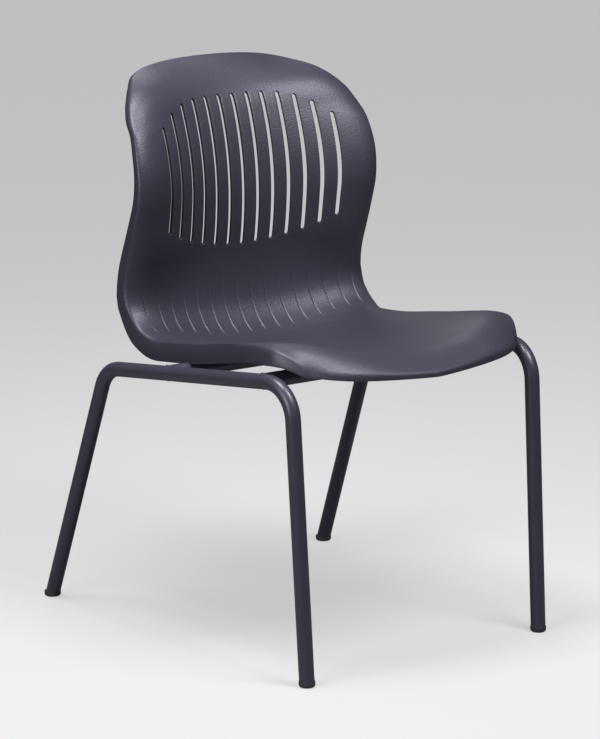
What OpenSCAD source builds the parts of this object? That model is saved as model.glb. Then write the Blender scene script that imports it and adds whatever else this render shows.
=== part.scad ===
// Chair for choirs and halls: a one-piece slotted plastic shell on a welded
// steel tube frame with push-in floor glides.
// Millimetres. Z up, the sitter faces -Y, X = 0 is the plane of symmetry, and
// the middle of the overall footprint stands on the origin.

/* [Show] */
// which sub-part to draw

/* [Frame] */
// outside diameter of every frame tube
tube_d = 22.2; // [20:0.1:24]
// wall of every frame tube
tube_wall = 1.6; // [1.2:0.1:2.5]
// centre-line radius of the bends between leg and side rail
bend_r = 50; // [42:1:60]
// how much thicker the wall is in a bend, inside and out
bend_swell = 0.05; // [0.03:0.01:0.1]
// how far a straight runs on into its bend
bend_lap = 0.5; // [0.3:0.1:1]
// distance between the front legs at the floor, centre to centre
front_foot_w = 430; // [410:1:450]
// distance between the rear legs at the floor, centre to centre
rear_foot_w = 527.2; // [500:1:560]
// distance from front to rear legs at the floor, centre to centre
foot_depth = 594.6; // [570:1:620]
// height above the floor where front leg and side rail lines cross
front_corner_h = 429.8; // [415:1:445]
// slope of the side rails and the seat, falling to the rear, degrees
seat_pitch = 6.2; // [5:0.1:7]
// rake of the front legs, degrees
front_leg_rake = 4.1; // [3:0.1:5]
// rake of the rear legs, degrees
rear_leg_rake = 21.2; // [19:0.1:23]
// outward lean of a whole side frame, degrees
side_lean = 0.2; // [0:0.1:0.6]
// front cross tube, distance behind the front corner along the rail
front_cross_at = 63; // [58:1:75]
// rear cross tube, distance behind the front corner along the rail
rear_cross_at = 276; // [262:1:290]
// gap left for the weld between two tubes or between a tube and a tab
weld_gap = 0.3; // [0.2:0.1:0.5]

/* [Glides] */
// height of a glide between the floor and the end of its tube
glide_h = 8; // [6:0.5:10]
// how far a glide stands out past its tube
glide_lip = 0.8; // [0.5:0.1:1.5]
// rounding of a glide's lower edge
glide_round = 4; // [2:0.5:5]
// how deep a glide's plug goes into its tube
glide_plug = 22; // [15:1:30]
// clearance between plug and tube wall, per side
plug_fit = 0.2; // [0.1:0.05:0.4]

/* [Shell] */
// widest width of the shell
shell_w = 446; // [430:1:456]
// thickness of the shell skin
skin_t = 4.8; // [4:0.1:5.5]
// clearance between the shell and the tops of the cross tubes
shell_fit = 0.3; // [0.2:0.1:0.6]
// start of the flat of the seat behind the front corner of the rail
seat_start = 30; // [20:1:40]
// length of the flat of the seat
seat_run = 304.8; // [295:1:312]
// radius of the waterfall at the front of the seat
front_roll_r = 164; // [145:1:185]
// slope of the surface at the front lip, degrees
front_roll_angle = 25; // [20:1:30]
// radius where the seat turns up into the back
seat_bend_r = 76; // [68:1:84]
// slope of the back just above that bend, degrees
seat_bend_angle = 75; // [70:1:78]
// radius of the hollow below the waist of the back
hollow_r = 200; // [170:1:230]
// slope of the back above the hollow, leaning forward past 90 degrees
hollow_angle = 99.5; // [97:0.5:102]
// radius of the waist of the back
waist_r = 420; // [370:5:470]
// slope of the back above the waist, degrees
waist_angle = 84; // [82:0.5:87]
// radius of the upper back
upper_r = 390; // [350:5:430]
// slope of the back below the top roll, degrees
upper_angle = 70.5; // [68:0.5:73]
// radius of the roll at the top of the back
top_roll_r = 120; // [105:5:135]
// slope of the top of the back, degrees
top_angle = 52; // [48:1:56]
// flat above the top roll
top_run = 56; // [50:1:62]
// how far above the top edge the hand-set curves of the shell begin
curve_lead = 15.5; // [12:0.5:19]
// tightest radius across the back
bowl_r = 306; // [290:1:340]
// how far the side edges roll back from the bowl, at the most
corner_drop = 40.5; // [36:0.5:44]
// deepest depth of the turned-down flange
flange_depth = 30; // [26:0.5:31]
// thickness of the flange at its free edge
flange_t = 3.2; // [2.6:0.1:3.4]
// outward draft of the flange, per unit of depth
flange_draft_share = 0.1; // [0.05:0.01:0.15]
// outward draft at the middle of the front lip, per unit of depth
lip_draft_share = 0.45; // [0.3:0.05:0.5]
// rounding between the seating surface and the flange
edge_r = 4; // [3:0.25:5]
// width at the top corners
top_corner_w = 362; // [352:1:372]
// drop of the top corners below the middle of the top edge
top_corner_drop = 54.5; // [48:0.5:61]
// width at the front corners
front_corner_w = 377; // [364:1:390]
// set-back of the front corners from the middle of the lip
front_corner_back = 59; // [50:1:64]
// width of the band in which the bowl fades out at the front lip
front_fade = 48; // [40:1:56]

/* [Slots] */
// width of a slot in the back
slot_w = 7; // [5:0.5:9]
// distance between slot centres
slot_pitch = 26; // [25.5:0.1:26.4]
// distance of the middle slot's upper end from the top edge
slot_top = 75.5; // [70:0.5:82]
// how much lower the outermost slot starts
slot_top_drop = 47; // [40:1:54]
// distance of the middle slot's lower end from the top edge
slot_bottom = 302.5; // [293:0.5:309]
// how much higher the outermost slot ends
slot_bottom_rise = 37; // [30:1:44]

/* [Fastening] */
// distance between the screws of one cross tube, centre to centre
screw_span = 150; // [130:1:170]
// thickness of a welded tab
tab_t = 3; // [2.5:0.1:4]
// width of a tab along its tube
tab_w = 34; // [30:1:40]
// distance from the tube centre line to the screw
screw_reach = 30; // [28:0.5:34]
// metal past the screw centre at the free end of a tab
tab_end = 12; // [10:0.5:15]
// diameter of the screw thread
screw_d = 6; // [5:0.1:6.4]
// clearance around a screw where it passes a tab or an insert, per side
screw_fit = 0.3; // [0.2:0.05:0.5]
// diameter of a screw's flanged head
head_d = 13; // [12:0.5:15]
// thickness of the flange under a screw's head
head_flange_t = 1.2; // [1:0.1:1.6]
// across-flats size of a screw's hexagon
head_af = 8; // [7:0.5:10]
// height of a screw's hexagon
head_h = 4; // [3.5:0.1:5]
// outside diameter of a threaded insert
insert_d = 8.6; // [8.2:0.1:9.4]
// length of a threaded insert
insert_l = 10; // [8:0.5:11]
// clearance between an insert and its boss, per side
insert_fit = 0.1; // [0.05:0.05:0.2]
// diameter of a boss under the seat
boss_d = 19; // [17:0.5:22]
// share of the skin that a boss's blind end reaches into
boss_skin_share = 0.5; // [0.4:0.05:0.6]

/* [Detail] */
// segments of the round parts
round_segments = 96; // [48:8:128]
// rows of the shell surface above the slots
rows_top = 7; // [6:1:9]
// rows of the shell surface beside the slots
rows_slots = 10; // [8:1:12]
// rows between the slots and the seat bend
rows_low = 3; // [3:1:5]
// rows round the seat bend
rows_bend = 9; // [8:1:11]
// rows of the flat of the seat
rows_seat = 7; // [6:1:9]
// rows of the waterfall
rows_front = 7; // [6:1:9]

/* [Hidden] */
$fn = round_segments;
right = -1;
left = 1;
overrun = tube_d;

// Side frame: corner points in its own plane, [distance from the front foot, height]
toe = atan((rear_foot_w - front_foot_w) / 2 / foot_depth);
plane_depth = foot_depth / cos(toe);
rail_fall = tan(seat_pitch) * cos(toe);
front_corner_u = front_corner_h * tan(front_leg_rake);
rear_corner_u = (plane_depth - tan(rear_leg_rake) * (front_corner_h + front_corner_u * rail_fall))
    / (1 - tan(rear_leg_rake) * rail_fall);
rear_corner_h = front_corner_h - (rear_corner_u - front_corner_u) * rail_fall;
front_foot = [0, 0];
front_corner = [front_corner_u, front_corner_h];
rear_corner = [rear_corner_u, rear_corner_h];
rear_foot = [plane_depth, 0];
front_foot_y = -foot_depth / 2;
front_corner_y = front_foot_y + front_corner_u * cos(toe);

// Height-dependent half width of the side rails and legs
function frame_x(y, z) = front_foot_w / 2 + (y - front_foot_y) * tan(toe) + z * tan(side_lean);

// A point of the seat plane: u runs back along the rail from its front corner, h stands square above it
function on_seat(u, h) = [
    front_corner_y + u * cos(seat_pitch) + h * sin(seat_pitch),
    front_corner_h - u * sin(seat_pitch) + h * cos(seat_pitch),
];

// Centre profile of the shell from the front lip to the top: [length, slope at its start, slope at its end]
function arc_length(radius, slope_a, slope_b) = radius * abs(slope_b - slope_a) * PI / 180;
legs = [
    [arc_length(front_roll_r, front_roll_angle, -seat_pitch), front_roll_angle, -seat_pitch],
    [seat_run, -seat_pitch, -seat_pitch],
    [arc_length(seat_bend_r, -seat_pitch, seat_bend_angle), -seat_pitch, seat_bend_angle],
    [arc_length(hollow_r, seat_bend_angle, hollow_angle), seat_bend_angle, hollow_angle],
    [arc_length(waist_r, hollow_angle, waist_angle), hollow_angle, waist_angle],
    [arc_length(upper_r, waist_angle, upper_angle), waist_angle, upper_angle],
    [arc_length(top_roll_r, upper_angle, top_angle), upper_angle, top_angle],
    [top_run, top_angle, top_angle],
];
function leg_slope(leg, part) = leg[1] + (leg[2] - leg[1]) * part;
function leg_move(leg, part) =
    leg[1] == leg[2]
    ? leg[0] * part * [cos(leg[1]), sin(leg[1])]
    : leg[0] / ((leg[2] - leg[1]) * PI / 180)
        * [sin(leg_slope(leg, part)) - sin(leg[1]), cos(leg[1]) - cos(leg_slope(leg, part))];
seat_origin = on_seat(seat_start, tube_d / 2 + shell_fit + skin_t) - leg_move(legs[0], 1);
function leg_start(i) = i == 0 ? seat_origin : leg_start(i - 1) + leg_move(legs[i - 1], 1);
function leg_sum(i) = i == 0 ? 0 : leg_sum(i - 1) + legs[i - 1][0];
leg_starts = [for (i = [0:1:len(legs) - 1]) leg_start(i)];
leg_sums = [for (i = [0:1:len(legs)]) leg_sum(i)];
profile_l = leg_sums[len(legs)];
function leg_at(t, i) = i == len(legs) - 1 || t < leg_sums[i + 1] ? i : leg_at(t, i + 1);

// Position and slope on the profile at the distance s from the top edge: [y, z, slope]
function profile_on(i, part) =
    let (p = leg_starts[i] + leg_move(legs[i], part))
    [p[0], p[1], leg_slope(legs[i], part)];
function profile(s) = let (t = profile_l - s, i = leg_at(t, 0)) profile_on(i, (t - leg_sums[i]) / legs[i][0]);

// Hand-set curves along the shell, from the lead above the top edge down to the lip:
// [share of the way, share of the named size]
width_shares = [
    [0, 0.784], [0.065, 0.786], [0.069, 0.793], [0.082, 0.836], [0.091, 0.865], [0.102, 0.891],
    [0.114, 0.917], [0.136, 0.95], [0.168, 0.971], [0.197, 0.987], [0.248, 0.994],
    [0.356, 1], [0.414, 1], [0.434, 0.998], [0.453, 0.989], [0.499, 0.981], [0.531, 0.961],
    [0.568, 0.934], [0.638, 0.898], [0.725, 0.882], [0.775, 0.897], [0.812, 0.937],
    [0.851, 0.966], [0.885, 0.981], [0.904, 0.953], [0.918, 0.914], [0.929, 0.879],
    [0.9376, 0.846], [1, 0.7],
];
bowl_shares = [
    [0, -0.366], [0.031, -0.28], [0.052, 0.143], [0.069, 0.404], [0.091, 0.626], [0.114, 0.708],
    [0.136, 0.783], [0.158, 0.855], [0.189, 0.94], [0.223, 1], [0.256, 0.985], [0.29, 0.88],
    [0.323, 0.81], [0.346, 0.765], [0.385, 0.59], [0.423, 0.44], [0.445, 0.43], [0.495, 0.465],
    [0.523, 0.51], [0.638, 0.49], [0.725, 0.51], [0.775, 0.57], [0.815, 0.67], [0.855, 0.765],
    [1, 0.765],
];
corner_shares = [
    [0, 0], [0.031, 0.08], [0.052, 0.17], [0.069, 0.36], [0.091, 0.58], [0.114, 0.675],
    [0.136, 0.69], [0.158, 0.62], [0.189, 0.715], [0.223, 0.81], [0.256, 0.865], [0.29, 0.89],
    [0.323, 0.965], [0.346, 1], [0.385, 0.815], [0.423, 0.62], [0.445, 0.49], [0.468, 0.395],
    [0.495, 0.363], [0.523, 0.37], [0.568, 0.304], [0.638, 0.217], [0.725, 0.106], [0.775, 0.193],
    [0.815, 0.42], [0.855, 0.715], [0.892, 0.84], [0.938, 0.69], [1, 0.69],
];
flange_shares = [
    [0, 0.27], [0.07, 0.27], [0.114, 0.32], [0.167, 0.35], [0.21, 0.35], [0.257, 0.43],
    [0.324, 0.55], [0.413, 0.62], [0.458, 0.78], [0.5, 0.9], [0.545, 1], [0.725, 1],
    [0.815, 0.87], [0.855, 0.79], [0.89, 0.7], [0.917, 0.48], [0.938, 0.28], [0.96, 0.29],
    [0.973, 0.3], [1, 0.25],
];

// Smooth curve through such a table
function slope_at(t, i) =
    i == 0 || i == len(t) - 1
    ? 0
    : (t[i + 1][1] - t[i - 1][1]) / (t[i + 1][0] - t[i - 1][0]);
function row_at(t, x, i) = i == len(t) - 2 || x < t[i + 1][0] ? i : row_at(t, x, i + 1);
function smooth(t, x) =
    x <= 0 ? t[0][1]
    : x >= 1 ? t[len(t) - 1][1]
    : let (
        i = row_at(t, x, 0),
        w = t[i + 1][0] - t[i][0],
        k = (x - t[i][0]) / w
    )
    t[i][1] * (1 + 2 * k) * (1 - k) ^ 2
    + slope_at(t, i) * w * k * (1 - k) ^ 2
    + t[i + 1][1] * k ^ 2 * (3 - 2 * k)
    + slope_at(t, i + 1) * w * k ^ 2 * (k - 1);

curve_l = profile_l + curve_lead;
function share(s) = (s + curve_lead) / curve_l;
function at_share(k) = k * curve_l - curve_lead;

// Outline and cross curve of the shell at the distance s from the top edge
edge_power = 8;
fade_power = 2.2;
top_power = 5.3;
slot_top_power = 3.1;
lip_powers = [1.3, 8];
lip_shares = [0.53, 0.47];
function half_width(s) = shell_w / 2 * smooth(width_shares, share(s));
function flange(s) = flange_depth * smooth(flange_shares, share(s));
function top_edge(x) = top_corner_drop * min(1, abs(x) / (top_corner_w / 2)) ^ top_power;
function lip_back(a) = lip_shares[0] * a ^ lip_powers[0] + lip_shares[1] * a ^ lip_powers[1];
function lip_edge(x) = profile_l - front_corner_back * lip_back(min(1, abs(x) / (front_corner_w / 2)));
function fade(d) = 1 - (1 - max(0, min(1, d / front_fade))) ^ fade_power;
function rise(x, s) = fade(lip_edge(x) - s) * (
    x ^ 2 / (2 * bowl_r) * smooth(bowl_shares, share(s))
    - corner_drop * smooth(corner_shares, share(s)) * (abs(x) / half_width(s)) ^ edge_power
);
function shell_at(x, s) =
    let (p = profile(s), n = rise(x, s))
    [x, p[0] - n * sin(p[2]), p[1] + n * cos(p[2])];
function unit(v) = v / norm(v);
probe = skin_t / 10;
function across(x, s) = shell_at(x + probe, s) - shell_at(x - probe, s);
function along(x, s) = shell_at(x, s + probe) - shell_at(x, s - probe);
function shell_normal(x, s) = unit(cross(along(x, s), across(x, s)));

// Columns of the surface:
// [position, middle of the slot it bounds, share of the way from the last rib out to the edge]
slot_count = 13;
slot_reach = slot_pitch * (slot_count - 1) / 2;
inner_edge = slot_reach + slot_pitch / 2;
slot_columns = [
    for (i = [0:1:slot_count - 1])
        for (side = [-1, 1])
            [(i * slot_pitch - slot_reach) + side * slot_w / 2, i * slot_pitch - slot_reach, 0]
];
outer_shares = [0.34, 0.64, 0.86, 1];
outer_count = len(outer_shares);
edge_column = [inner_edge, inner_edge, 1];
columns = concat(
    [for (i = [outer_count - 1:-1:0]) [-inner_edge, -inner_edge, outer_shares[i]]],
    [[-inner_edge, -inner_edge, 0]],
    slot_columns,
    [[inner_edge, inner_edge, 0]],
    [for (i = [0:1:outer_count - 1]) [inner_edge, inner_edge, outer_shares[i]]]
);
column_count = len(columns);
first_slot_column = outer_count + 1;

// Lines across the shell at which the rows are gathered: upper edge, slot tops, slot ends, bend, seat, lip
gather_shares = [0.178, 0.298, 0.435, 0.58, 0.836];
top_fan_share = 0.86;
front_fan_share = 0.88;
rows_of = [rows_top, rows_slots, rows_low, rows_bend, rows_seat, rows_front];
function mix(a, b, k) = a + (b - a) * k;
function slot_share(x) = min(1, abs(x) / slot_reach);
function slot_start(x) = slot_top + slot_top_drop * slot_share(x) ^ slot_top_power;
function slot_stop(x) = slot_bottom - slot_bottom_rise * slot_share(x) ^ 2;
top_corner = top_corner_w / 2 - edge_r;
lip_corner = front_corner_w / 2 - edge_r;
function shell_start(x) = top_edge(x) + edge_r;
function shell_stop(x) = lip_edge(x) - edge_r;
function gather(j, column) =
    j == 0 ? mix(shell_start(column[0] * top_fan_share), shell_start(top_corner), column[2])
    : j == 1 ? mix(slot_start(column[1]), at_share(gather_shares[0]), column[2])
    : j == 2 ? mix(slot_stop(column[1]), at_share(gather_shares[1]), column[2])
    : j == 6 ? mix(shell_stop(column[0] * front_fan_share), shell_stop(lip_corner), column[2])
    : at_share(gather_shares[j - 1]);
rows = [
    for (j = [0:1:5])
        for (i = [0:1:rows_of[j] - (j == 5 ? 0 : 1)])
            [j, i / rows_of[j]]
];
row_count = len(rows);
slot_row_a = rows_top;
slot_row_b = rows_top + rows_slots;
function from_top(row, column) =
    row == rows[0] ? shell_start(mix(abs(column[0]) * top_fan_share, top_corner, column[2]))
    : row == rows[row_count - 1] ? shell_stop(mix(abs(column[0]) * front_fan_share, lip_corner, column[2]))
    : mix(gather(row[0], column), gather(row[0] + 1, column), row[1]);
function fan(row) =
    row[0] == 0 ? mix(top_fan_share, 1, row[1])
    : row[0] == 5 ? mix(1, front_fan_share, row[1])
    : 1;
function edge_x(row) = half_width(from_top(row, edge_column)) - edge_r;
function spot(row, column) = [
    sign(column[0]) * mix(abs(column[0]) * fan(row), edge_x(row), column[2]),
    from_top(row, column),
];
spots = [for (row = rows) for (column = columns) spot(row, column)];
face_points = [for (p = spots) shell_at(p[0], p[1])];
face_normals = [for (p = spots) shell_normal(p[0], p[1])];
back_points = [for (i = [0:1:len(spots) - 1]) face_points[i] - skin_t * face_normals[i]];
function grid(r, c) = r * column_count + c;

// Round ends of the slots: three points on the seating side, then the same three on the back
cap_angles = [45, 90, 135];
function cap_spot(k, end, angle) =
    let (
        x = k * slot_pitch - slot_reach,
        s = spots[grid(end == 0 ? slot_row_a : slot_row_b, first_slot_column + 2 * k)][1]
    )
    [x - slot_w / 2 * cos(angle), s + (end == 0 ? -1 : 1) * slot_w / 2 * sin(angle)];
cap_spots = [
    for (k = [0:1:slot_count - 1])
        for (end = [0, 1])
            for (angle = cap_angles)
                cap_spot(k, end, angle)
];
cap_face = [for (p = cap_spots) shell_at(p[0], p[1])];
cap_back = [for (p = cap_spots) shell_at(p[0], p[1]) - skin_t * shell_normal(p[0], p[1])];

// Loop of grid points round the outline, and the turned-down flange that hangs from it
loop = concat(
    [for (c = [0:1:column_count - 2]) grid(0, c)],
    [for (r = [0:1:row_count - 2]) grid(r, column_count - 1)],
    [for (c = [column_count - 1:-1:1]) grid(row_count - 1, c)],
    [for (r = [row_count - 1:-1:1]) grid(r, 0)]
);
loop_count = len(loop);
function loop_point(i) = face_points[loop[(i + loop_count) % loop_count]];
function square_to(v, t) = unit(v - t * (v * t));
lip_power = 4;
function draft_at(p) =
    p[1] > at_share(gather_shares[4])
    ? mix(lip_draft_share, flange_draft_share, min(1, abs(p[0]) / (front_corner_w / 2)) ^ lip_power)
    : flange_draft_share;
function rim_points(i) =
    let (
        id = loop[i],
        p = face_points[id],
        at = spots[id],
        slope = profile(at[1])[2],
        run = unit(loop_point(i + 1) - loop_point(i - 1)),
        out = unit(cross(face_normals[id], run)),
        down = [0, sin(slope), -cos(slope)],
        out_flat = square_to(out, down),
        hang = unit(down + out_flat * draft_at(at)),
        brow = p + out * edge_r,
        free = brow + hang * flange(at[1])
    )
    [
        mix(mix(p, brow, 0.5), mix(brow, brow + hang * edge_r, 0.5), 0.5),
        brow + hang * edge_r,
        free,
        free - out_flat * flange_t,
    ];
rim = [for (i = [0:1:loop_count - 1]) for (p = rim_points(i)) p];
rim_rings = 4;

grid_size = row_count * column_count;
cap_size = len(cap_spots);
back_from = grid_size;
cap_face_from = 2 * grid_size;
cap_back_from = cap_face_from + cap_size;
rim_from = cap_back_from + cap_size;
shell_points = concat(face_points, back_points, cap_face, cap_back, rim);

function is_slot(c) =
    c >= first_slot_column
    && c < first_slot_column + 2 * slot_count
    && (c - first_slot_column) % 2 == 0;
function is_open(r, c) = is_slot(c) && r >= slot_row_a - 1 && r <= slot_row_b;
function quad(a, b, c, d, turned) = turned ? [[a, c, b], [a, d, c]] : [[a, b, c], [a, c, d]];
function skin_cell(from, r, c, turned) =
    let (a = from + grid(r, c), b = from + grid(r, c + 1), d = from + grid(r + 1, c + 1), e = from + grid(r + 1, c))
    (c < column_count / 2) == (r < slot_row_a)
    ? quad(a, b, d, e, turned)
    : quad(b, d, e, a, turned);
skin_faces = [
    for (side = [0, 1])
        for (r = [0:1:row_count - 2])
            for (c = [0:1:column_count - 2])
                if (!is_open(r, c))
                    for (f = skin_cell(side * back_from, r, c, side == 1)) f
];
slot_walls = [
    for (k = [0:1:slot_count - 1])
        for (edge = [0, 1])
            for (r = [slot_row_a:1:slot_row_b - 1])
                let (c = first_slot_column + 2 * k + edge)
                for (f = quad(
                    grid(r, c), back_from + grid(r, c),
                    back_from + grid(r + 1, c), grid(r + 1, c),
                    edge == 1
                )) f
];
// the cell beyond a slot's end, cut by the round end: corners far left, far right, near right, arc, near left
function cap_outline(k, end, side) =
    let (
        c = first_slot_column + 2 * k,
        near = end == 0 ? slot_row_a : slot_row_b,
        far = end == 0 ? slot_row_a - 1 : slot_row_b + 1,
        grid_from = side * back_from,
        arc_from = (side == 0 ? cap_face_from : cap_back_from) + (2 * k + end) * len(cap_angles)
    )
    [
        grid_from + grid(far, c), grid_from + grid(far, c + 1), grid_from + grid(near, c + 1),
        arc_from + 2, arc_from + 1, arc_from, grid_from + grid(near, c),
    ];
cap_fans = [[0, 5, 6], [0, 4, 5], [0, 1, 4], [1, 3, 4], [1, 2, 3]];
function facing(t, turned) = turned ? [t[0], t[2], t[1]] : t;
cap_faces = [
    for (k = [0:1:slot_count - 1])
        for (end = [0, 1])
            for (side = [0, 1])
                let (o = cap_outline(k, end, side))
                for (t = cap_fans)
                    facing([o[t[0]], o[t[1]], o[t[2]]], (side + end) % 2 == 1)
];
cap_walls = [
    for (k = [0:1:slot_count - 1])
        for (end = [0, 1])
            let (a = cap_outline(k, end, 0), b = cap_outline(k, end, 1))
            for (i = [2:1:5])
                for (f = quad(a[i], b[i], b[i + 1], a[i + 1], end == 1)) f
];
function ring_id(i, ring) =
    ring == 0 ? loop[i % loop_count]
    : ring == rim_rings + 1 ? back_from + loop[i % loop_count]
    : rim_from + (i % loop_count) * rim_rings + ring - 1;
rim_faces = [
    for (i = [0:1:loop_count - 1])
        for (ring = [0:1:rim_rings])
            for (f = quad(
                ring_id(i, ring), ring_id(i, ring + 1),
                ring_id(i + 1, ring + 1), ring_id(i + 1, ring),
                false
            )) f
];
shell_faces = concat(skin_faces, slot_walls, cap_faces, cap_walls, rim_faces);

// The middle of the footprint is moved onto the origin
lip_y = min([for (p = rim) p[1]]);
rear_glide_r = (tube_d / 2 + glide_lip) / cos(rear_leg_rake);
front_glide_r = (tube_d / 2 + glide_lip) / cos(front_leg_rake);
rear_glide_y = foot_depth / 2 - glide_h / 2 * tan(rear_leg_rake);
centre_shift = -(lip_y + rear_glide_y + rear_glide_r) / 2;

screw_hole_d = screw_d + 2 * screw_fit;
boss_top = tube_d / 2 + shell_fit + skin_t * boss_skin_share;

module in_place() {
    translate([0, centre_shift, 0])
        children();
}

// Moves a piece made round a rail point into the seat plane
module at_rail(u) {
    translate([0, on_seat(u, 0)[0], on_seat(u, 0)[1]])
        rotate([-seat_pitch, 0, 0])
            children();
}

// Moves a piece made in the plane of a side frame, front foot at the origin, to its side
module at_side(side) {
    translate([side * front_foot_w / 2, front_foot_y, 0])
        rotate([0, 0, -side * toe])
            rotate([0, side * side_lean, 0])
                children();
}

module rod(a, b, d) {
    run = b - a;
    translate([0, a[0], a[1]])
        rotate([-atan2(run[0], run[1]), 0, 0])
            cylinder(h = norm(run), d = d);
}

module elbow(corner, slope_in, slope_out) {
    reach = bend_r * tan((slope_in - slope_out) / 2);
    start = corner - reach * [cos(slope_in), sin(slope_in)];
    centre = start + bend_r * [sin(slope_in), -cos(slope_in)];
    translate([0, centre[0], centre[1]])
        rotate([90, 0, 90])
            rotate([0, 0, slope_out + 90])
                rotate_extrude(angle = slope_in - slope_out)
                    translate([bend_r, 0])
                        difference() {
                            circle(d = tube_d + 2 * bend_swell);
                            circle(d = tube_d - 2 * (tube_wall + bend_swell));
                        }
}

module hollow_rod(a, b) {
    run = b - a;
    translate([0, a[0], a[1]])
        rotate([-atan2(run[0], run[1]), 0, 0])
            difference() {
                cylinder(h = norm(run), d = tube_d);
                translate([0, 0, -overrun])
                    cylinder(h = norm(run) + 2 * overrun, d = tube_d - 2 * tube_wall);
            }
}

// The legs and the rail of a side frame with their bends, the legs running on below the floor
module side_run() {
    slope_up = 90 - front_leg_rake;
    slope_rail = -atan(rail_fall);
    slope_down = rear_leg_rake - 90;
    reach_front = bend_r * tan((slope_up - slope_rail) / 2);
    reach_rear = bend_r * tan((slope_rail - slope_down) / 2);
    up = [cos(slope_up), sin(slope_up)];
    rail = [cos(slope_rail), sin(slope_rail)];
    away = [cos(slope_down), sin(slope_down)];
    hollow_rod(front_foot - overrun * up, front_corner - (reach_front - bend_lap) * up);
    elbow(front_corner, slope_up, slope_rail);
    hollow_rod(front_corner + (reach_front - bend_lap) * rail, rear_corner - (reach_rear - bend_lap) * rail);
    elbow(rear_corner, slope_rail, slope_down);
    hollow_rod(rear_corner + (reach_rear - bend_lap) * away, rear_foot + overrun * away);
}

module side_frame(side) {
    color("#2b2a31")
        in_place()
            difference() {
                at_side(side)
                    side_run();
                translate([0, 0, glide_h - 2 * overrun])
                    cube([2 * rear_foot_w, 2 * foot_depth, 4 * overrun], center = true);
            }
}

module cross_tube(u) {
    half = frame_x(on_seat(u, 0)[0], on_seat(u, 0)[1]);
    color("#2b2a31")
        in_place()
            difference() {
                at_rail(u)
                    rotate([0, 90, 0])
                        difference() {
                            cylinder(h = 2 * half, d = tube_d, center = true);
                            cylinder(h = 2 * (half + overrun), d = tube_d - 2 * tube_wall, center = true);
                        }
                for (side = [right, left])
                    at_side(side)
                        rod(front_corner, rear_corner, tube_d + 2 * weld_gap);
            }
}

// One welded tab; ahead is 1 when it points to the rear and -1 when it points forward
module tab(u, side, ahead) {
    color("#2b2a31")
        in_place()
            at_rail(u)
                difference() {
                    translate([
                        side * screw_span / 2 - tab_w / 2,
                        ahead == 1 ? 0 : -(screw_reach + tab_end),
                        -tab_t / 2
                    ])
                        cube([tab_w, screw_reach + tab_end, tab_t]);
                    rotate([0, 90, 0])
                        cylinder(h = screw_span + 2 * tab_w, d = tube_d + 2 * weld_gap, center = true);
                    translate([side * screw_span / 2, ahead * screw_reach, 0])
                        cylinder(h = tab_t + 2 * overrun, d = screw_hole_d, center = true);
                }
}

module insert(u, side, ahead) {
    color("#b58b43")
        in_place()
            at_rail(u)
                translate([side * screw_span / 2, ahead * screw_reach, tab_t / 2])
                    difference() {
                        cylinder(h = insert_l, d = insert_d);
                        translate([0, 0, -overrun])
                            cylinder(h = insert_l + 2 * overrun, d = screw_hole_d);
                    }
}

module screw(u, side, ahead) {
    color("#8d9096")
        in_place()
            at_rail(u)
                translate([side * screw_span / 2, ahead * screw_reach, -tab_t / 2]) {
                    cylinder(h = tab_t + insert_l, d = screw_d);
                    translate([0, 0, -head_flange_t])
                        cylinder(h = head_flange_t, d = head_d);
                    translate([0, 0, -head_flange_t - head_h])
                        cylinder(h = head_h, d = head_af / cos(30), $fn = 6);
                }
}

module glide(y_side, side) {
    rake = y_side == -1 ? front_leg_rake : rear_leg_rake;
    radius = y_side == -1 ? front_glide_r : rear_glide_r;
    half = y_side == -1 ? front_foot_w / 2 : rear_foot_w / 2;
    color("#1f1f22")
        in_place() {
            translate([side * half, y_side * (foot_depth / 2 - glide_h / 2 * tan(rake)), 0])
                rotate_extrude()
                    intersection() {
                        union() {
                            translate([radius - glide_round, glide_round])
                                circle(r = glide_round);
                            square([radius - glide_round, glide_h]);
                            translate([0, glide_round])
                                square([radius, glide_h - glide_round]);
                        }
                        square([radius, glide_h]);
                    }
            at_side(side)
                difference() {
                    if (y_side == -1)
                        rod(front_foot, front_foot + (glide_h + glide_plug) * [sin(rake), cos(rake)],
                            tube_d - 2 * (tube_wall + plug_fit));
                    else
                        rod(rear_foot, rear_foot + (glide_h + glide_plug) * [-sin(rake), cos(rake)],
                            tube_d - 2 * (tube_wall + plug_fit));
                    translate([0, 0, glide_h / 2 - overrun])
                        cube([2 * plane_depth, 2 * plane_depth + 2 * overrun, 2 * overrun], center = true);
                }
        }
}

// Moulded boss round an insert: it stands on the tab and ends inside the skin
module boss(u, side, ahead) {
    lift = screw_span ^ 2 / 8 / bowl_r * smooth(bowl_shares, gather_shares[3]);
    at_rail(u)
        translate([side * screw_span / 2, ahead * screw_reach, tab_t / 2])
            difference() {
                cylinder(h = boss_top + lift - tab_t / 2, d = boss_d);
                translate([0, 0, -overrun])
                    cylinder(h = insert_l + insert_fit + overrun, d = insert_d + 2 * insert_fit);
            }
}

module seat_shell() {
    color("#3a3a44")
        in_place() {
            polyhedron(points = shell_points, faces = shell_faces, convexity = 8);
            for (side = [right, left]) {
                boss(front_cross_at, side, 1);
                boss(rear_cross_at, side, -1);
            }
        }
}

module right_side_frame() {
    side_frame(right);
}

module left_side_frame() {
    side_frame(left);
}

module front_cross_tube() {
    cross_tube(front_cross_at);
}

module rear_cross_tube() {
    cross_tube(rear_cross_at);
}

module front_right_tab() {
    tab(front_cross_at, right, 1);
}

module front_left_tab() {
    tab(front_cross_at, left, 1);
}

module rear_right_tab() {
    tab(rear_cross_at, right, -1);
}

module rear_left_tab() {
    tab(rear_cross_at, left, -1);
}

module front_right_insert() {
    insert(front_cross_at, right, 1);
}

module front_left_insert() {
    insert(front_cross_at, left, 1);
}

module rear_right_insert() {
    insert(rear_cross_at, right, -1);
}

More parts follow.
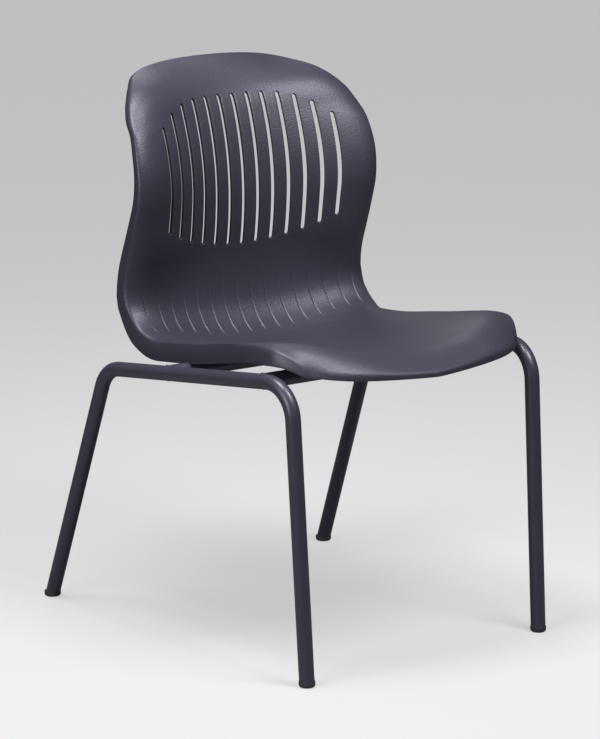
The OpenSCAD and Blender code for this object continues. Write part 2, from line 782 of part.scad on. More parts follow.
module rear_left_insert() {
    insert(rear_cross_at, left, -1);
}

module front_right_screw() {
    screw(front_cross_at, right, 1);
}

module front_left_screw() {
    screw(front_cross_at, left, 1);
}

module rear_right_screw() {
    screw(rear_cross_at, right, -1);
}

module rear_left_screw() {
    screw(rear_cross_at, left, -1);
}

module front_right_glide() {
    glide(-1, right);
}

module front_left_glide() {
    glide(-1, left);
}

module rear_right_glide() {
    glide(1, right);
}

module rear_left_glide() {
    glide(1, left);
}

seat_shell();
right_side_frame();
left_side_frame();
front_cross_tube();
rear_cross_tube();
front_right_tab();
front_left_tab();
rear_right_tab();
rear_left_tab();
front_right_insert();
front_left_insert();
rear_right_insert();
rear_left_insert();
front_right_screw();
front_left_screw();
rear_right_screw();
rear_left_screw();
front_right_glide();
front_left_glide();
rear_right_glide();
rear_left_glide();
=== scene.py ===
# %% [markdown]
# # A slotted shell chair on a tube frame
# The real chair is one thin plastic moulding, seat and back together, on a welded
# frame of bent steel tube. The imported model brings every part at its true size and
# place. This file gives each part its finish, rebuilds the moulding with its fine
# grooves and soft edges, and sets up the floor, the light and the camera.

import math
from collections import Counter

import bpy
from mathutils import Matrix, Vector


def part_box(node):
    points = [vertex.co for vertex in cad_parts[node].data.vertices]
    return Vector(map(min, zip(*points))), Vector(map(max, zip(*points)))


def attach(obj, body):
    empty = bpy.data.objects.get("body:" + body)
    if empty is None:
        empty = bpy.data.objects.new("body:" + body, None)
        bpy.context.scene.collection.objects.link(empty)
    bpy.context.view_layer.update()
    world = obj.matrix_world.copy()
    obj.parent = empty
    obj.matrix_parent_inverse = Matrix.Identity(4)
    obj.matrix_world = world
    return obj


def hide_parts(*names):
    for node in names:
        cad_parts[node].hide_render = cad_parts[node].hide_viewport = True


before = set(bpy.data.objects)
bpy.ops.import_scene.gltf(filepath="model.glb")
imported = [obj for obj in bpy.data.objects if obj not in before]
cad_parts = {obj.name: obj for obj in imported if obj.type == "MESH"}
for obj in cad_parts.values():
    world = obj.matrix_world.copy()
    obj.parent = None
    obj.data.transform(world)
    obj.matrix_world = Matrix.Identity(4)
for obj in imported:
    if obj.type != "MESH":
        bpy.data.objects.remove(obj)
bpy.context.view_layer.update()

# %% [markdown]
# The camera stands in front of the chair, to its right-hand side and a little above
# the seat, far away with a long lens, so the legs hardly converge. It comes first,
# because every later choice is judged through it.

# %% Camera
CAMERA_PLACE = Vector((-2.5379, -3.3896, 1.2992))
CAMERA_RIGHT = Vector((0.801424, -0.598095, -0.001431))
CAMERA_BACK = Vector((-0.584132, -0.783223, 0.212958))
CAMERA_LENS = 141.13


def add_camera():
    data = bpy.data.cameras.new("camera")
    data.lens = CAMERA_LENS
    data.clip_end = 50
    camera = bpy.data.objects.new("camera", data)
    bpy.context.scene.collection.objects.link(camera)
    up = CAMERA_BACK.cross(CAMERA_RIGHT)
    turn = Matrix((CAMERA_RIGHT, up, CAMERA_BACK)).transposed().to_4x4()
    camera.matrix_world = Matrix.Translation(CAMERA_PLACE) @ turn
    bpy.context.scene.camera = camera


add_camera()

# %% [markdown]
# The moulding follows one long curve from the front lip to the top of the back. It
# is easiest to describe as straights and arcs, each with the slope at which it ends.
# The flat of the seat lies on the two cross tubes, so the curve is hung on them.

# %% The side curve of the moulding
MM = 0.001
SKIN = 4.8 * MM
TUBE_CLEARANCE = 0.3 * MM
FLAT_AHEAD_OF_TUBE = 33 * MM
SEAT_FLAT = 304.8 * MM
FRONT_ROLL_RADIUS = 164 * MM
FRONT_LIP_SLOPE = 25
SEAT_BEND_RADIUS, SEAT_BEND_SLOPE = 76 * MM, 75
HOLLOW_RADIUS, HOLLOW_SLOPE = 200 * MM, 99.5
WAIST_RADIUS, WAIST_SLOPE = 420 * MM, 84
UPPER_RADIUS, UPPER_SLOPE = 390 * MM, 70.5
TOP_ROLL_RADIUS, TOP_SLOPE = 120 * MM, 52
TOP_FLAT = 56 * MM


def middle_of(node):
    low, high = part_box(node)
    return (Vector(low) + Vector(high)) / 2


front_tube = middle_of("front_cross_tube")
rear_tube = middle_of("rear_cross_tube")
tube_low, tube_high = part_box("front_cross_tube")
TUBE_RADIUS = (tube_high[2] - tube_low[2]) / 2
SEAT_SLOPE = -math.degrees(math.atan2(front_tube.z - rear_tube.z, rear_tube.y - front_tube.y))
print("seat slope", round(SEAT_SLOPE, 2), "tube radius", round(TUBE_RADIUS, 5))


def heading(slope):
    angle = math.radians(slope)
    return Vector((0, math.cos(angle), math.sin(angle)))


def square_to_heading(slope):
    angle = math.radians(slope)
    return Vector((0, -math.sin(angle), math.cos(angle)))


def arc(radius, slope_a, slope_b):
    return (radius * abs(math.radians(slope_b - slope_a)), slope_a, slope_b)


stretches = [
    arc(FRONT_ROLL_RADIUS, FRONT_LIP_SLOPE, SEAT_SLOPE),
    (SEAT_FLAT, SEAT_SLOPE, SEAT_SLOPE),
    arc(SEAT_BEND_RADIUS, SEAT_SLOPE, SEAT_BEND_SLOPE),
    arc(HOLLOW_RADIUS, SEAT_BEND_SLOPE, HOLLOW_SLOPE),
    arc(WAIST_RADIUS, HOLLOW_SLOPE, WAIST_SLOPE),
    arc(UPPER_RADIUS, WAIST_SLOPE, UPPER_SLOPE),
    arc(TOP_ROLL_RADIUS, UPPER_SLOPE, TOP_SLOPE),
    (TOP_FLAT, TOP_SLOPE, TOP_SLOPE),
]


def move_along(stretch, part):
    length, slope_a, slope_b = stretch
    if slope_a == slope_b:
        return heading(slope_a) * length * part
    radius = length / math.radians(slope_b - slope_a)
    slope = slope_a + (slope_b - slope_a) * part
    return radius * (square_to_heading(slope_a) - square_to_heading(slope))


def hang_on_tubes():
    flat_start = front_tube - heading(SEAT_SLOPE) * FLAT_AHEAD_OF_TUBE
    flat_start += square_to_heading(SEAT_SLOPE) * (TUBE_RADIUS + TUBE_CLEARANCE + SKIN)
    flat_start.x = 0
    starts = [flat_start - move_along(stretches[0], 1)]
    for stretch in stretches:
        starts.append(starts[-1] + move_along(stretch, 1))
    return starts


starts = hang_on_tubes()
CURVE_LENGTH = sum(stretch[0] for stretch in stretches)
print("length of the side curve", round(CURVE_LENGTH, 4))
print("top at", [round(v, 4) for v in starts[-1]])


def side_curve(down):
    """Point and slope of the side curve at a distance down from the top edge."""
    left = CURVE_LENGTH - down
    for start, stretch in zip(starts, stretches):
        if left <= stretch[0] or stretch is stretches[-1]:
            part = left / stretch[0]
            return start + move_along(stretch, part), stretch[1] + (stretch[2] - stretch[1]) * part
        left -= stretch[0]


# %% [markdown]
# Across the chair the moulding is a bowl whose outer edges roll back. Four short
# lists say how its width, its bowl, that roll and the depth of the turned-down edge
# change along the side curve. Each pair is a share of the way down and a share of the
# full size, and a smooth curve runs through the pairs. The lists start a little above
# the top edge. The top edge and the front edge bend away at the corners by a power of
# the distance from the middle, and the front edge adds a gentle bend to a tight one.

# %% How the cross section changes
HALF_WIDTH = 223 * MM
BOWL_RADIUS = 306 * MM
EDGE_DROP = 40.5 * MM
FLANGE_DEPTH = 30 * MM
EDGE_POWER = 8
LISTS_START_ABOVE = 15.5 * MM
TOP_CORNER_HALF, TOP_CORNER_DROP, TOP_POWER = 181 * MM, 54.6 * MM, 5.4
FRONT_CORNER_HALF, FRONT_CORNER_BACK = 188.5 * MM, 59 * MM
FRONT_BENDS = [(0.53, 1.3), (0.47, 8)]
FRONT_FADE, FADE_POWER = 48 * MM, 2.2

width_shares = [
    (0, 0.784), (0.065, 0.784), (0.069, 0.79), (0.082, 0.832), (0.091, 0.858), (0.102, 0.888),
    (0.114, 0.917), (0.136, 0.95), (0.168, 0.971), (0.197, 0.987), (0.248, 0.994),
    (0.356, 1), (0.414, 1), (0.434, 0.998), (0.453, 0.989), (0.499, 0.981), (0.531, 0.961),
    (0.568, 0.934), (0.638, 0.898), (0.725, 0.882), (0.775, 0.897), (0.812, 0.937),
    (0.851, 0.966), (0.885, 0.981), (0.904, 0.953), (0.918, 0.914), (0.929, 0.879),
    (0.9376, 0.846), (1, 0.7),
]
bowl_shares = [
    (0, -0.8), (0.031, -0.31), (0.052, 0.125), (0.069, 0.41), (0.091, 0.67), (0.114, 0.75),
    (0.136, 0.783), (0.158, 0.855), (0.189, 0.94), (0.223, 1), (0.256, 0.985), (0.29, 0.88),
    (0.323, 0.81), (0.346, 0.765), (0.385, 0.59), (0.423, 0.44), (0.445, 0.43), (0.495, 0.465),
    (0.523, 0.51), (0.638, 0.49), (0.725, 0.51), (0.775, 0.57), (0.815, 0.67), (0.855, 0.765),
    (1, 0.765),
]
roll_shares = [
    (0, 0), (0.031, 0), (0.052, 0.2), (0.069, 0.31), (0.091, 0.64), (0.114, 0.725),
    (0.136, 0.7), (0.158, 0.62), (0.189, 0.715), (0.223, 0.81), (0.256, 0.865), (0.29, 0.89),
    (0.323, 0.965), (0.346, 1), (0.385, 0.815), (0.423, 0.62), (0.445, 0.49), (0.468, 0.395),
    (0.495, 0.363), (0.523, 0.37), (0.568, 0.304), (0.638, 0.217), (0.725, 0.106), (0.775, 0.193),
    (0.815, 0.42), (0.855, 0.715), (0.892, 0.84), (0.938, 0.69), (1, 0.69),
]
flange_shares = [
    (0, 0.27), (0.07, 0.27), (0.114, 0.32), (0.167, 0.35), (0.21, 0.35), (0.257, 0.43),
    (0.324, 0.55), (0.413, 0.62), (0.458, 0.78), (0.5, 0.9), (0.545, 1), (0.725, 1),
    (0.815, 0.87), (0.855, 0.79), (0.89, 0.7), (0.917, 0.48), (0.938, 0.28), (0.96, 0.29),
    (0.973, 0.3), (1, 0.25),
]


def share_slope(pairs, i):
    if i == 0 or i == len(pairs) - 1:
        return 0
    return (pairs[i + 1][1] - pairs[i - 1][1]) / (pairs[i + 1][0] - pairs[i - 1][0])


def smooth_share(pairs, at):
    if at <= 0:
        return pairs[0][1]
    if at >= 1:
        return pairs[-1][1]
    i = 0
    while at >= pairs[i + 1][0]:
        i += 1
    span = pairs[i + 1][0] - pairs[i][0]
    k = (at - pairs[i][0]) / span
    return (
        pairs[i][1] * (1 + 2 * k) * (1 - k) ** 2
        + share_slope(pairs, i) * span * k * (1 - k) ** 2
        + pairs[i + 1][1] * k ** 2 * (3 - 2 * k)
        + share_slope(pairs, i + 1) * span * k ** 2 * (k - 1)
    )


def share_of_way(down):
    return (down + LISTS_START_ABOVE) / (CURVE_LENGTH + LISTS_START_ABOVE)


def down_at_share(share):
    return share * (CURVE_LENGTH + LISTS_START_ABOVE) - LISTS_START_ABOVE


def half_width(down):
    return HALF_WIDTH * smooth_share(width_shares, share_of_way(down))


def top_edge(x):
    return TOP_CORNER_DROP * min(1, abs(x) / TOP_CORNER_HALF) ** TOP_POWER


def front_edge(x):
    k = min(1, abs(x) / FRONT_CORNER_HALF)
    bend = sum(share * k ** power for share, power in FRONT_BENDS)
    return CURVE_LENGTH - FRONT_CORNER_BACK * bend


def bowl_height(x, down):
    at = share_of_way(down)
    k = max(0, min(1, (front_edge(x) - down) / FRONT_FADE))
    fade = 1 - (1 - k) ** FADE_POWER
    bowl = x ** 2 / (2 * BOWL_RADIUS) * smooth_share(bowl_shares, at)
    roll = EDGE_DROP * smooth_share(roll_shares, at)
    return fade * (bowl - roll * (abs(x) / half_width(down)) ** EDGE_POWER)


def on_shell(x, down, sunk=0):
    """Point of the seating surface, x from the middle and down from the top edge."""
    point, slope = side_curve(down)
    point = point + square_to_heading(slope) * (bowl_height(x, down) - sunk)
    point.x = x
    return point


def shell_normal(x, down):
    step = 0.3 * MM
    across = on_shell(x + step, down) - on_shell(x - step, down)
    along = on_shell(x, down + step) - on_shell(x, down - step)
    return along.cross(across).normalized()


# %% [markdown]
# A moulding like this is best built from one grid whose lines already run where the
# slots and the grooves are. Then the slots are simply faces that get deleted, and a
# groove is a line of points that sinks a little. Here the lines across the chair are
# planned: five for each slot, seven for each groove between two slots, and lines
# outside the last slot that spread out to the edge.

# %% Lines of the grid from side to side
SLOT_WIDTH, SLOT_PITCH, SLOTS = 7 * MM, 26 * MM, 13
SLOT_REACH = SLOT_PITCH * (SLOTS - 1) / 2
GROOVE_HALF, GROOVE_DEPTH = 1.4 * MM, 1.15 * MM
GROOVE_SHOULDER = 0.6 * MM
RIB_LINE = 5.2 * MM
EDGE_RADIUS = 4 * MM
slot_steps = [-1, -0.5, 0, 0.5, 1]
groove_offsets = [
    -GROOVE_HALF - GROOVE_SHOULDER, -GROOVE_HALF, 0, GROOVE_HALF, GROOVE_HALF + GROOVE_SHOULDER,
]
outer_groove_share = 0.52
outer_shares = [
    0.14, 0.27, 0.39, 0.482, 0.495, outer_groove_share, 0.545, 0.558,
    0.64, 0.72, 0.8, 0.87, 0.93, 0.97, 1,
]


def rib_line(x, groove=0):
    return {"x": x, "slot": None, "groove": groove}


def groove_lines(rib):
    return [rib_line(rib + offset, 1 if offset == 0 else 0) for offset in groove_offsets]


def grid_columns():
    """Each line: its place, the slot it is in, its step in that slot, its share of a groove."""
    left_rib = -SLOT_REACH - SLOT_PITCH / 2
    lines = groove_lines(left_rib) + [rib_line(left_rib + RIB_LINE)]
    for number in range(SLOTS):
        middle = number * SLOT_PITCH - SLOT_REACH
        for step in slot_steps:
            x = middle + step * SLOT_WIDTH / 2
            lines.append({"x": x, "slot": middle, "step": step, "groove": 0})
        rib = middle + SLOT_PITCH / 2
        lines += [rib_line(rib - RIB_LINE)] + groove_lines(rib)
        if number < SLOTS - 1:
            lines.append(rib_line(rib + RIB_LINE))
    outer = []
    for share in outer_shares:
        groove = 1 if share == outer_groove_share else 0
        outer.append({"share": share, "slot": None, "groove": groove})
    right = [dict(line, side=1) for line in outer]
    left = [dict(line, side=-1) for line in reversed(outer)]
    return left + lines + right


columns = grid_columns()
INNER_EDGE = SLOT_REACH + SLOT_PITCH / 2 + GROOVE_HALF + GROOVE_SHOULDER
print("lines across:", len(columns))

# %% [markdown]
# The lines from top to front follow the top edge first, then bend into the curve of
# the slot ends, and run straight over the seat. Extra lines close together at the
# slot ends make them round: the points there lie on an arc of the slot's width.

# %% Lines of the grid from top to front
SLOT_TOP, SLOT_TOP_DROP, SLOT_TOP_POWER = 75.5 * MM, 47 * MM, 3.1
SLOT_END, SLOT_END_RISE = 302.5 * MM, 37 * MM
SLOT_HALF = SLOT_WIDTH / 2
gather_shares = [0.178, 0.298, 0.435, 0.58, 0.836]
end_steps = [0, 0.134, 0.5, 1]
ARC_HALFWAY_OUT = 0.866
band_rows = [18, 24, 8, 26, 14, 22]
TOP_FAN_SHARE, FRONT_FAN_SHARE = 0.86, 0.88
TOP_EDGE_CROWDING = 1.7


def mix(a, b, k):
    return a + (b - a) * k


def outline_start(x):
    return top_edge(x) + EDGE_RADIUS


def outline_end(x):
    return front_edge(x) - EDGE_RADIUS


TOP_CORNER = TOP_CORNER_HALF - EDGE_RADIUS
FRONT_CORNER = FRONT_CORNER_HALF - EDGE_RADIUS


def gather_line(number, x, middle, share):
    """How far down a gather line lies where the grid is this share of the way out to the edge."""
    reach = min(1, abs(middle) / SLOT_REACH)
    if number == 0:
        return mix(outline_start(x * TOP_FAN_SHARE), outline_start(TOP_CORNER), share)
    if number == len(band_rows):
        return mix(outline_end(x * FRONT_FAN_SHARE), outline_end(FRONT_CORNER), share)
    straight = down_at_share(gather_shares[number - 1])
    if number == 1:
        return mix(SLOT_TOP + SLOT_TOP_DROP * reach ** SLOT_TOP_POWER, straight, share)
    if number == 2:
        return mix(SLOT_END - SLOT_END_RISE * reach ** 2, straight, share)
    return straight


def grid_rows():
    """Each line: its band, how far through it the line lies, its step past a slot's end."""
    lines = []
    for band, count in enumerate(band_rows):
        if band == 1:
            lines += [(1, 0, (step - 1) * SLOT_HALF) for step in end_steps]
            lines += [(1, i / (count + 1), 0) for i in range(1, count + 1)]
            lines += [(2, 0, (1 - step) * SLOT_HALF) for step in reversed(end_steps)]
        elif band == 2:
            lines += [(2, i / count, 0) for i in range(1, count)]
        else:
            lines += [(band, i / count, 0) for i in range(count)]
    return lines + [(5, 1, 0)]


rows = grid_rows()
FIRST_HOLE_ROW = band_rows[0]
LAST_HOLE_ROW = FIRST_HOLE_ROW + 2 * len(end_steps) + band_rows[1] - 1
print("lines down:", len(rows))

# %% [markdown]
# Between the back and the seat, sixteen fine grooves run on below the slots, one on
# each rib. They are V-shaped, so one line of points sinks and its neighbours stay.
# They start and end gently, which a smooth step on the depth gives.

# %% Depth of the grooves
GROOVE_FROM, GROOVE_FULL = 338 * MM, 376 * MM
GROOVE_FADES, GROOVE_TO = 434 * MM, 468 * MM


def ease(value, low, high):
    k = max(0, min(1, (value - low) / (high - low)))
    return k * k * (3 - 2 * k)


def groove_depth(down):
    start = ease(down, GROOVE_FROM, GROOVE_FULL)
    return GROOVE_DEPTH * start * (1 - ease(down, GROOVE_FADES, GROOVE_TO))


# %% [markdown]
# Now every crossing of the grid gets its place: how far from the middle, and how far
# down from the top edge. At a slot's end the outer points close in to the arc, and
# the points inside the hole fall onto their neighbours, so that merging them later
# leaves clean triangles.

# %% Place of each crossing


def row_down(row, x, middle, share=0):
    band, part, extra = row
    if row == rows[0]:
        return outline_start(mix(abs(x) * TOP_FAN_SHARE, TOP_CORNER, share))
    if row == rows[-1]:
        return outline_end(mix(abs(x) * FRONT_FAN_SHARE, FRONT_CORNER, share))
    if part == 0:
        return gather_line(band, x, middle, share) + extra
    if band == 0:
        part = mix(part, part ** TOP_EDGE_CROWDING, share)
    before, after = (gather_line(number, x, middle, share) for number in (band, band + 1))
    return mix(before, after, part)


def slot_end_place(row_number, column):
    """Place of a crossing on or inside the round end of a slot, or None."""
    middle, step = column["slot"], column["step"]
    for near, sign in ((FIRST_HOLE_ROW, 1), (LAST_HOLE_ROW, -1)):
        past = (row_number - near) * sign
        if 0 < past < len(end_steps) - 1:
            tip = row_down(rows[near], middle, middle)
            if step == 0:
                return middle, tip
            if abs(step) == 0.5:
                return middle + step * SLOT_HALF, tip + sign * end_steps[1] * SLOT_HALF
            if past == 2:
                out = middle + step * SLOT_HALF * ARC_HALFWAY_OUT
                return out, tip + sign * end_steps[2] * SLOT_HALF
    return None


def fan(row):
    """How far the inner lines close in near the top edge and the front lip."""
    if row[0] == 0:
        return mix(TOP_FAN_SHARE, 1, row[1])
    return mix(1, FRONT_FAN_SHARE, row[1]) if row[0] == 5 else 1


def place_on_sheet(row_number, column):
    row = rows[row_number]
    if "share" in column:
        share = column["share"]
        edge = half_width(row_down(row, INNER_EDGE, INNER_EDGE, 1)) - EDGE_RADIUS
        x = column["side"] * mix(INNER_EDGE * fan(row), edge, share)
        return x, row_down(row, INNER_EDGE, INNER_EDGE, share)
    x = column["x"] * fan(row)
    if column["slot"] is None:
        return x, row_down(row, column["x"], column["x"])
    return slot_end_place(row_number, column) or (x, row_down(row, column["x"], column["slot"]))


# %% [markdown]
# The grid primitive comes flat and one metre square. Each point notes which lines it
# lies on, as two whole numbers that stay with it, and is then sent to its crossing.
# The faces inside the slots are picked by the same numbers and deleted, and points
# that fell together are merged.

# %% Spread the grid over the shell and open the slots
MERGE_WITHIN = 0.00001


def start_clean():
    if bpy.context.object and bpy.context.object.mode != "OBJECT":
        bpy.ops.object.mode_set(mode="OBJECT")
    bpy.ops.object.select_all(action="DESELECT")


def pick(piece):
    """Make this piece the selected and active one."""
    start_clean()
    piece.select_set(True)
    bpy.context.view_layer.objects.active = piece


def turn_faces_out():
    """Make all faces of the active piece point outward."""
    bpy.ops.object.mode_set(mode="EDIT")
    bpy.ops.mesh.select_all(action="SELECT")
    bpy.ops.mesh.normals_make_consistent(inside=False)
    bpy.ops.object.mode_set(mode="OBJECT")


def line_number(value, count):
    return round((value + 0.5) * (count - 1))


def in_slot(row_number, column_number):
    column, following = columns[column_number], columns[column_number + 1]
    if column["slot"] is None or column["slot"] != following["slot"]:
        return False
    least = 1 if abs(column["step"] + following["step"]) < 1 else 2
    return min(row_number - FIRST_HOLE_ROW, LAST_HOLE_ROW - 1 - row_number) >= least


def note_lines(mesh):
    down_line = mesh.attributes.new("down_line", "INT", "POINT")
    across_line = mesh.attributes.new("across_line", "INT", "POINT")
    for vertex in mesh.vertices:
        down_line.data[vertex.index].value = line_number(-vertex.co.y, len(rows))
        across_line.data[vertex.index].value = line_number(vertex.co.x, len(columns))


def lines_of(mesh):
    down_line, across_line = (mesh.attributes[name].data for name in ("down_line", "across_line"))
    return [(down_line[i].value, across_line[i].value) for i in range(len(mesh.vertices))]


def add_sheet():
    start_clean()
    bpy.ops.mesh.primitive_grid_add(
        x_subdivisions=len(columns) - 1, y_subdivisions=len(rows) - 1, size=1)
    sheet = bpy.context.object
    sheet.name = "seat_and_back"
    mesh = sheet.data
    note_lines(mesh)
    lines = lines_of(mesh)
    holes = []
    for face in mesh.polygons:
        row_number, column_number = (min(lines[i][k] for i in face.vertices) for k in (0, 1))
        holes.append(in_slot(row_number, column_number))
    for vertex, (r, c) in zip(mesh.vertices, lines):
        x, down = place_on_sheet(r, columns[c])
        vertex.co = on_shell(x, down, groove_depth(down) * columns[c]["groove"])
    bpy.ops.object.mode_set(mode="EDIT")
    bpy.ops.mesh.select_mode(type="FACE")
    bpy.ops.mesh.select_all(action="DESELECT")
    bpy.ops.object.mode_set(mode="OBJECT")
    for face, hole in zip(mesh.polygons, holes):
        face.select = hole
    bpy.ops.object.mode_set(mode="EDIT")
    bpy.ops.mesh.delete(type="FACE")
    bpy.ops.mesh.select_all(action="SELECT")
    bpy.ops.mesh.remove_doubles(threshold=MERGE_WITHIN)
    bpy.ops.object.mode_set(mode="OBJECT")
    print("faces cut for the slots:", sum(holes), "faces left:", len(mesh.polygons))
    return sheet


shell = add_sheet()

# %% [markdown]
# Near the two front corners the surface rolls over the side and over the front at
# once, which leaves a crease. A Smooth modifier relaxes it. A vertex group keeps the
# effect to the corners and holds the points on open edges in place. The same step
# runs once more after the rim is turned down, which softens the rim there too.

# %% Relax the front corners
RELAX_SIDE, RELAX_FULL_SIDE = 100 * MM, 160 * MM
RELAX_BACK, RELAX_FULL_BACK = 235 * MM, 135 * MM
SHEET_ROUNDS, RIM_ROUNDS = 60, 18
RELAX_FACTOR = 0.5


def relax_corners(sheet, rounds):
    group = sheet.vertex_groups.new(name="relax")
    sides = Counter(key for face in sheet.data.polygons for key in face.edge_keys)
    on_edge = {i for key, count in sides.items() if count == 1 for i in key}
    for vertex, (r, c) in zip(sheet.data.vertices, lines_of(sheet.data)):
        if vertex.index in on_edge:
            continue
        x, down = place_on_sheet(r, columns[c])
        forward = ease(down, CURVE_LENGTH - RELAX_BACK, CURVE_LENGTH - RELAX_FULL_BACK)
        group.add([vertex.index], forward * ease(abs(x), RELAX_SIDE, RELAX_FULL_SIDE), "REPLACE")
    relax = sheet.modifiers.new("relax", "SMOOTH")
    relax.vertex_group = group.name
    relax.factor = RELAX_FACTOR
    relax.iterations = rounds
    pick(sheet)
    bpy.ops.object.modifier_apply(modifier=relax.name)
    sheet.vertex_groups.remove(sheet.vertex_groups["relax"])


relax_corners(shell, SHEET_ROUNDS)

# %% [markdown]
# Round its whole outline the moulding turns down into a flange, like the rim of a
# tray. The outline's edges are extruded five times: four short steps go round a small
# curve, and the last runs to the flange's free edge. Each new point keeps its two
# line numbers, so it can be sent to its place on that path.

# %% Turn the rim down
FLANGE_DRAFT, LIP_DRAFT, LIP_POWER = 0.1, 0.45, 4
rim_turns = [0.25, 0.5, 0.75, 1]
wall_at_step = [0.86, 0.74, 0.68, 0.67, 0.67]


def outline_loop():
    last_row, last_column = len(rows) - 1, len(columns) - 1
    loop = [(0, c) for c in range(last_column)]
    loop += [(r, last_column) for r in range(last_row)]
    loop += [(last_row, c) for c in range(last_column, 0, -1)]
    return loop + [(r, 0) for r in range(last_row, 0, -1)]


def hang_direction(x, down, slope, out):
    hang = -square_to_heading(slope)
    out_flat = (out - hang * out.dot(hang)).normalized()
    draft = FLANGE_DRAFT
    if down > down_at_share(gather_shares[-1]):
        draft = mix(LIP_DRAFT, FLANGE_DRAFT, min(1, abs(x) / FRONT_CORNER_HALF) ** LIP_POWER)
    return (hang + out_flat * draft).normalized()


def rim_path(x, down, run):
    """Places of one outline point at each step of the turn."""
    here = on_shell(x, down)
    out = shell_normal(x, down).cross(run).normalized()
    hang = hang_direction(x, down, side_curve(down)[1], out)
    brow = here + out * EDGE_RADIUS
    low = brow + hang * EDGE_RADIUS
    path = [here * (1 - k) ** 2 + brow * 2 * k * (1 - k) + low * k ** 2 for k in rim_turns]
    path.append(brow + hang * FLANGE_DEPTH * smooth_share(flange_shares, share_of_way(down)))
    return path


def turn_rim(sheet):
    loop = outline_loop()
    spots = [place_on_sheet(r, columns[c]) for r, c in loop]
    points = [on_shell(*spot) for spot in spots]
    paths = {}
    for i, key in enumerate(loop):
        run = (points[(i + 1) % len(loop)] - points[i - 1]).normalized()
        paths[key] = rim_path(*spots[i], run)
    mesh = sheet.data
    wall = sheet.vertex_groups.new(name="wall")
    wall.add([v.index for v in mesh.vertices], 1, "REPLACE")
    bpy.ops.object.mode_set(mode="EDIT")
    bpy.ops.mesh.select_mode(type="EDGE")
    bpy.ops.mesh.select_all(action="DESELECT")
    bpy.ops.mesh.select_non_manifold(extend=False)
    bpy.ops.object.mode_set(mode="OBJECT")
    lines = lines_of(mesh)
    for edge in mesh.edges:
        edge.select = edge.select and all(lines[i] in paths for i in edge.vertices)
    for step in range(len(wall_at_step)):
        bpy.ops.object.mode_set(mode="EDIT")
        bpy.ops.mesh.extrude_region_move()
        bpy.ops.object.mode_set(mode="OBJECT")
        lines = lines_of(mesh)
        moved = [v.index for v in mesh.vertices if v.select]
        for i in moved:
            mesh.vertices[i].co = paths[lines[i]][step]
        wall.add(moved, wall_at_step[step], "REPLACE")
    print("rim points:", len(loop), "on the free edge:", len(moved))


turn_rim(shell)
relax_corners(shell, RIM_ROUNDS)

# %% [markdown]
# So far this is a sheet without thickness. The real moulding is nearly five
# millimetres thick and thinner in its flange. Solidify adds the wall on the inner
# side, so the seating surface stays where it is, and a vertex group thins it at the
# rim. A small bevel then rounds the sharp edges of the slots and of the free edge,
# which gives them the thin bright line that moulded edges show.

# %% Give the moulding its wall
EDGE_ROUNDING, ROUNDING_ANGLE = 0.9 * MM, 80
SMOOTH_UP_TO = 46


def apply_all(piece):
    pick(piece)
    for modifier in list(piece.modifiers):
        bpy.ops.object.modifier_apply(modifier=modifier.name)


def tidy_mesh(piece, degrees):
    """Clear the working notes and shade the curved faces smooth."""
    pick(piece)
    for name in ("down_line", "across_line"):
        if name in piece.data.attributes:
            piece.data.attributes.remove(piece.data.attributes[name])
    piece.vertex_groups.clear()
    bpy.ops.object.shade_smooth_by_angle(angle=math.radians(degrees))


def face_up(sheet):
    """Turn all faces so that the seating side is the outer one."""
    turn_faces_out()

    def level_and_central(face):
        return abs(face.normal.z) - abs(face.center.x) - abs(face.center.y)

    if max(sheet.data.polygons, key=level_and_central).normal.z < 0:
        bpy.ops.object.mode_set(mode="EDIT")
        bpy.ops.mesh.flip_normals()
        bpy.ops.object.mode_set(mode="OBJECT")


face_up(shell)
wall = shell.modifiers.new("wall", "SOLIDIFY")
wall.thickness = SKIN
wall.offset = -1
wall.use_even_offset = False
wall.vertex_group = "wall"
rounding = shell.modifiers.new("rounding", "BEVEL")
rounding.limit_method = "ANGLE"
rounding.angle_limit = math.radians(ROUNDING_ANGLE)
rounding.width = EDGE_ROUNDING
rounding.segments = 2
apply_all(shell)
tidy_mesh(shell, SMOOTH_UP_TO)
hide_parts("seat_shell")
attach(shell, "root")
print("moulding faces:", len(shell.data.polygons))

# %% [markdown]
# Under the seat the moulding has four bosses, thick round pillars that hold the brass
# inserts for the screws. Each starts as a cylinder that stands on its tab and ends
# inside the skin. Its lower face is inset and pushed up to make the bore, and its top
# is widened a little, the taper that lets a moulding leave its tool.

# %% Bosses for the screws
BOSS_RADIUS, BOSS_HEIGHT = 9.5 * MM, 16.6 * MM
INSERT_LENGTH, BORE_RADIUS, BORE_DEPTH = 10 * MM, 4.4 * MM, 10.1 * MM
BOSS_TAPER, BOSS_ROUNDING = 1.08, 0.0005
ROUND_SIDES = 40
inserts = ["front_right_insert", "front_left_insert", "rear_right_insert", "rear_left_insert"]


def select_faces(mesh, wanted):
    """Select the faces for which wanted(face) holds, and nothing else."""
    bpy.ops.object.mode_set(mode="EDIT")
    bpy.ops.mesh.select_mode(type="FACE")
    bpy.ops.mesh.select_all(action="DESELECT")
    bpy.ops.object.mode_set(mode="OBJECT")
    for face in mesh.polygons:
        face.select = wanted(face)
    bpy.ops.object.mode_set(mode="EDIT")


def settle(piece):
    """Put the piece's place and turn into its mesh."""
    pick(piece)
    bpy.ops.object.transform_apply(location=True, rotation=True, scale=True)


